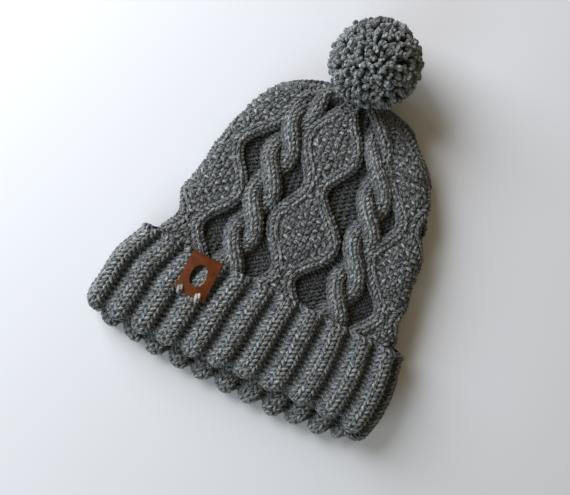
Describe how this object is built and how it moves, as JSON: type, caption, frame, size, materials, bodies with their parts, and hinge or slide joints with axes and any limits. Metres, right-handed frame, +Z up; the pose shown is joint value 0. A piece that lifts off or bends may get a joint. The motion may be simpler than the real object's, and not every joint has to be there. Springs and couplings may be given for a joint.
{
  "type": "pom pom beanie",
  "caption": "Hand-knit cable beanie lying flat, with a deep turned-up ribbed cuff, a yarn pom-pom tied to the crown and a small folded leather tag stitched to the cuff.",
  "frame": {"origin": "middle of the front layer's folded edge at the cuff, on the surface that the hat lies on", "axes": "+X along the cuff's folded edge, to the right when the hat is seen from its front with the pom-pom up; +Y from the head opening to the pom-pom; +Z up from the surface, out of the front side"},
  "size_m": [0.247, 0.3115, 0.07],
  "materials": {
    "grey_wool": "marled mid-grey worsted wool, matte and slightly fuzzy",
    "pom_wool": "cut ends of the same marled grey wool",
    "tie_wool": "the same grey wool pulled tight",
    "brown_leather": "cognac-brown leather, semi-matte, with raw cut edges",
    "pale_wool": "pale grey yarn"
  },
  "bodies": {
    "hat": {"knitted_crown": "grey_wool", "ribbed_band": "grey_wool", "crown_gathering_yarn": "tie_wool", "fastened_off_tail": "tie_wool", "tie_tails_inside": "tie_wool", "tie_anchor_knot": "tie_wool"},
    "cuff": {"turned_up_cuff": "grey_wool", "leather_tag": "brown_leather", "tag_stitch_left": "pale_wool", "tag_stitch_right": "pale_wool", "cast_on_tail": "tie_wool"},
    "tie": {"pom_neck_knot": "tie_wool"},
    "binding": {"pom_binding_yarn": "tie_wool"},
    "pom": {"pom_pom": "pom_wool"}
  },
  "joints": [
    {"name": "cuff_turn_down", "type": "slide", "parent": "hat", "child": "cuff", "axis": [0, -1, 0], "range_m": [0, 0.052]},
    {"name": "pom_nod", "type": "hinge", "parent": "hat", "child": "tie", "pos_m": [0.002, 0.245, 0.0058], "axis": [1, 0, 0], "range_deg": [0, 20]},
    {"name": "pom_sway", "type": "hinge", "parent": "tie", "child": "binding", "pos_m": [0.002, 0.245, 0.0058], "axis": [0, 0, 1], "range_deg": [-18, 18]},
    {"name": "pom_twist", "type": "hinge", "parent": "binding", "child": "pom", "pos_m": [0.002, 0.245, 0.0058], "axis": [-0.2212, 0.5204, 0.8248], "range_deg": [-60, 60]}
  ]
}
